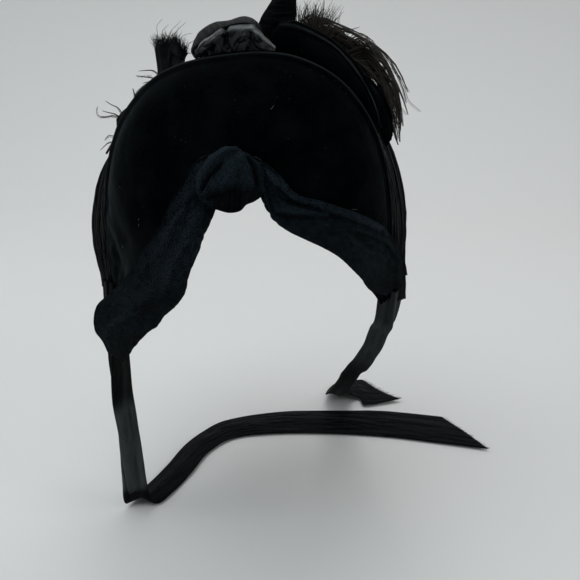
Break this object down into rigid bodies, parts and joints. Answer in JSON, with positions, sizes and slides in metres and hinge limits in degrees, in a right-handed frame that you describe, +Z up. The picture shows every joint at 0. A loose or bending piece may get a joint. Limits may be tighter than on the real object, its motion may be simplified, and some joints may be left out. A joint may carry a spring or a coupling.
{
  "type": "mourning bonnet",
  "caption": "Small close-fitting black mourning bonnet: velvet front, pleated silk crown, knotted crepe band, ribbon loops, feathers and long ribbon ties, in its worn form.",
  "frame": {"origin": "inside of the crown at the top, where a head meets it", "axes": "+Z up, the front faces -Y, +X towards the image's right"},
  "size_m": [0.2912, 0.2655, 0.3463],
  "materials": {
    "velvet": "black silk velvet, matte with a soft sheen at grazing angles",
    "silk": "plain black silk, soft lustre",
    "crepe": "black mourning crepe, dull and crimped",
    "satin": "black satin, glossy and crumpled",
    "ribbon": "black ribbed ribbon, faded a little",
    "feather": "brown-black feather, wispy"
  },
  "bodies": {
    "root": {"crown": "silk", "brim": "velvet", "crepe_band_right": "crepe", "crepe_band_left": "crepe", "crepe_knot": "crepe", "bow_loop": "ribbon", "bow_lining": "satin", "ribbon_end": "ribbon", "ribbon_tip": "ribbon", "tall_loop": "ribbon", "velvet_fold": "velvet", "velvet_lobe": "velvet", "plume": "feather", "left_feathers": "feather", "tie_left": "ribbon", "tie_right": "ribbon"}
  },
  "joints": []
}
